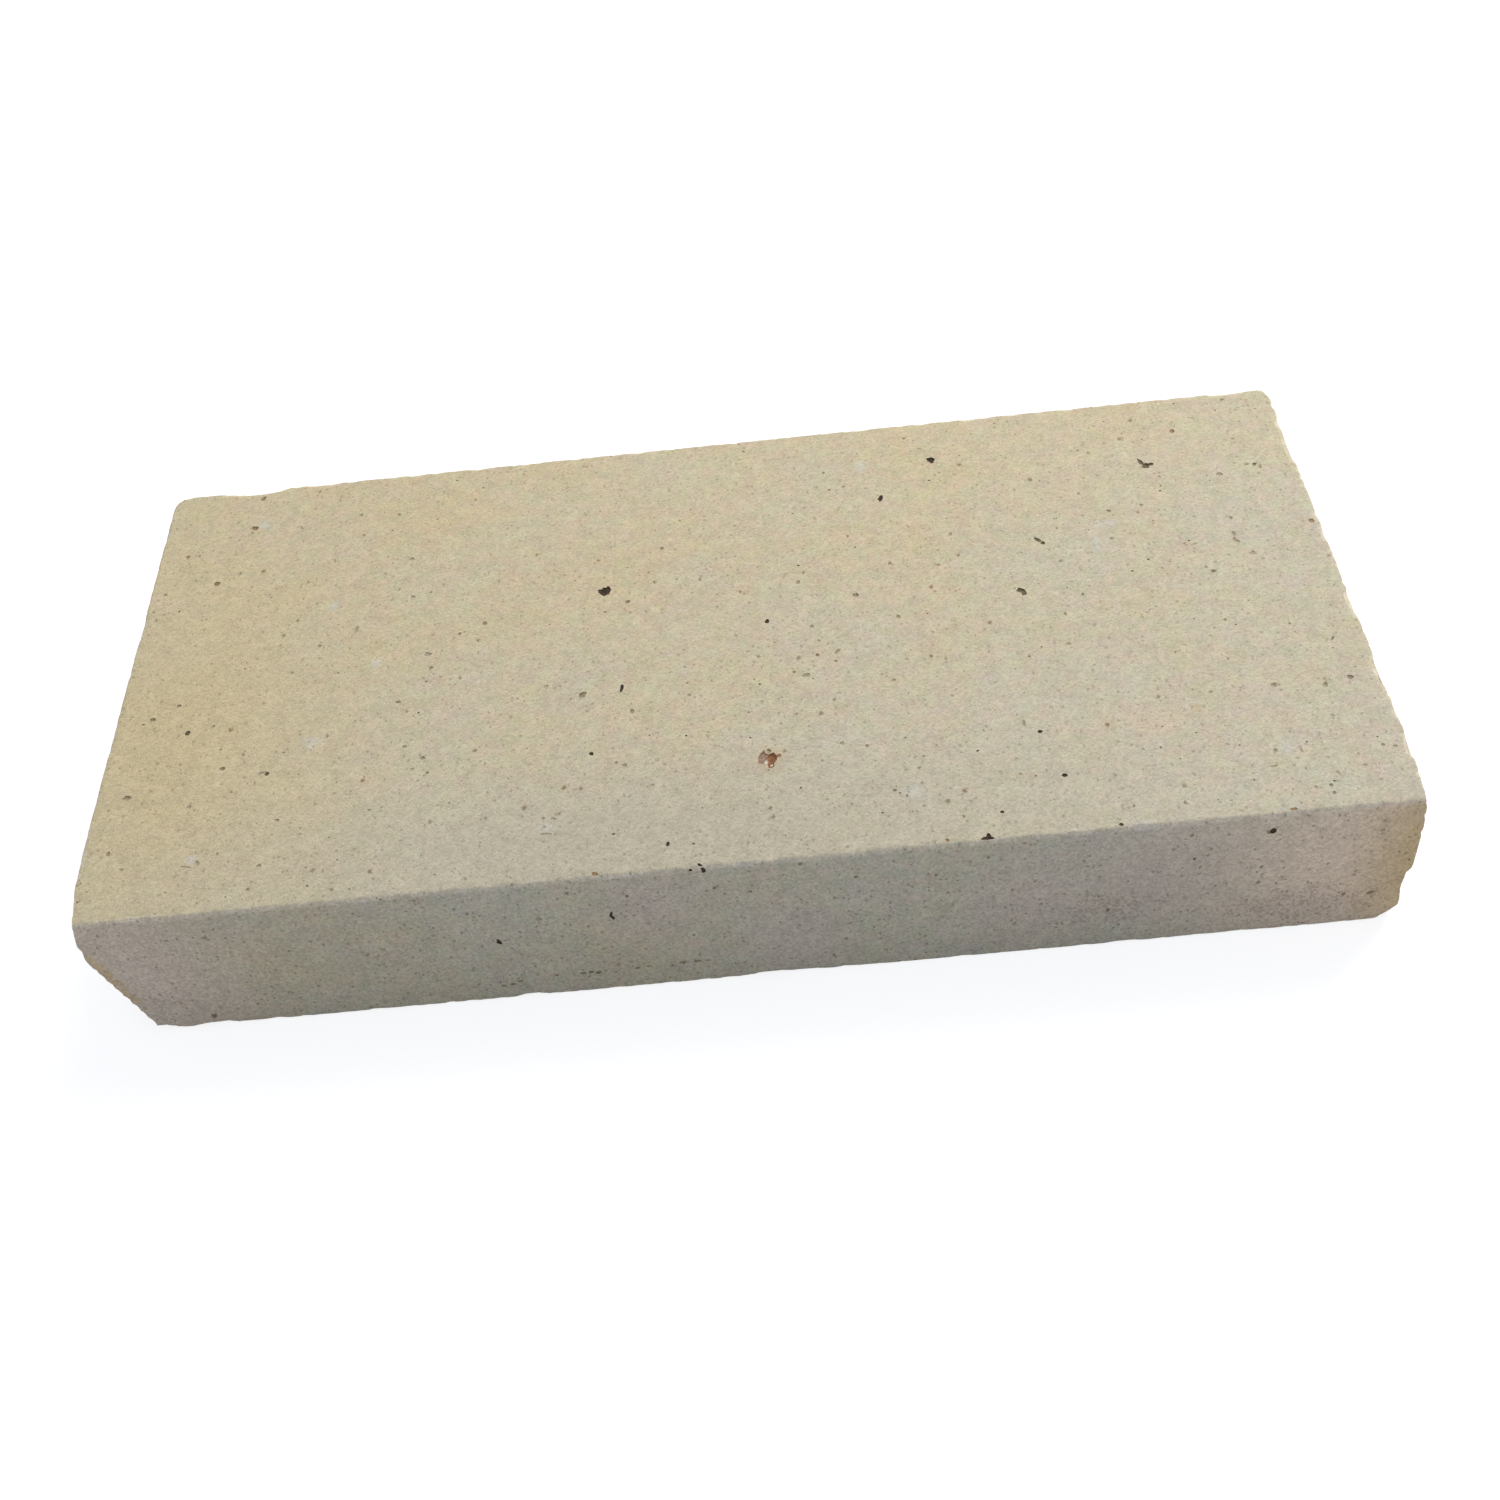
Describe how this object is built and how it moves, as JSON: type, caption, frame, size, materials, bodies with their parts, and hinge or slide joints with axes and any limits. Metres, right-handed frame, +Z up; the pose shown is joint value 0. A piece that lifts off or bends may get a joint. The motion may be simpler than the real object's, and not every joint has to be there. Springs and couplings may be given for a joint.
{
  "type": "refractory firebrick",
  "caption": "Thin rectangular split firebrick of dense buff fireclay, with chipped bottom corners and worn edges, laid flat to line stoves, ovens and kilns.",
  "frame": {"origin": "middle of the bed face that the brick lies on", "axes": "+X along the length, +Y across the width from the front face to the back face, +Z up through the height"},
  "size_m": [0.23, 0.114, 0.032],
  "materials": {
    "fired_clay": "matte fired fireclay, buff, fine-grained, with small pits and iron specks"
  },
  "bodies": {
    "root": {"firebrick": "fired_clay"}
  },
  "joints": []
}
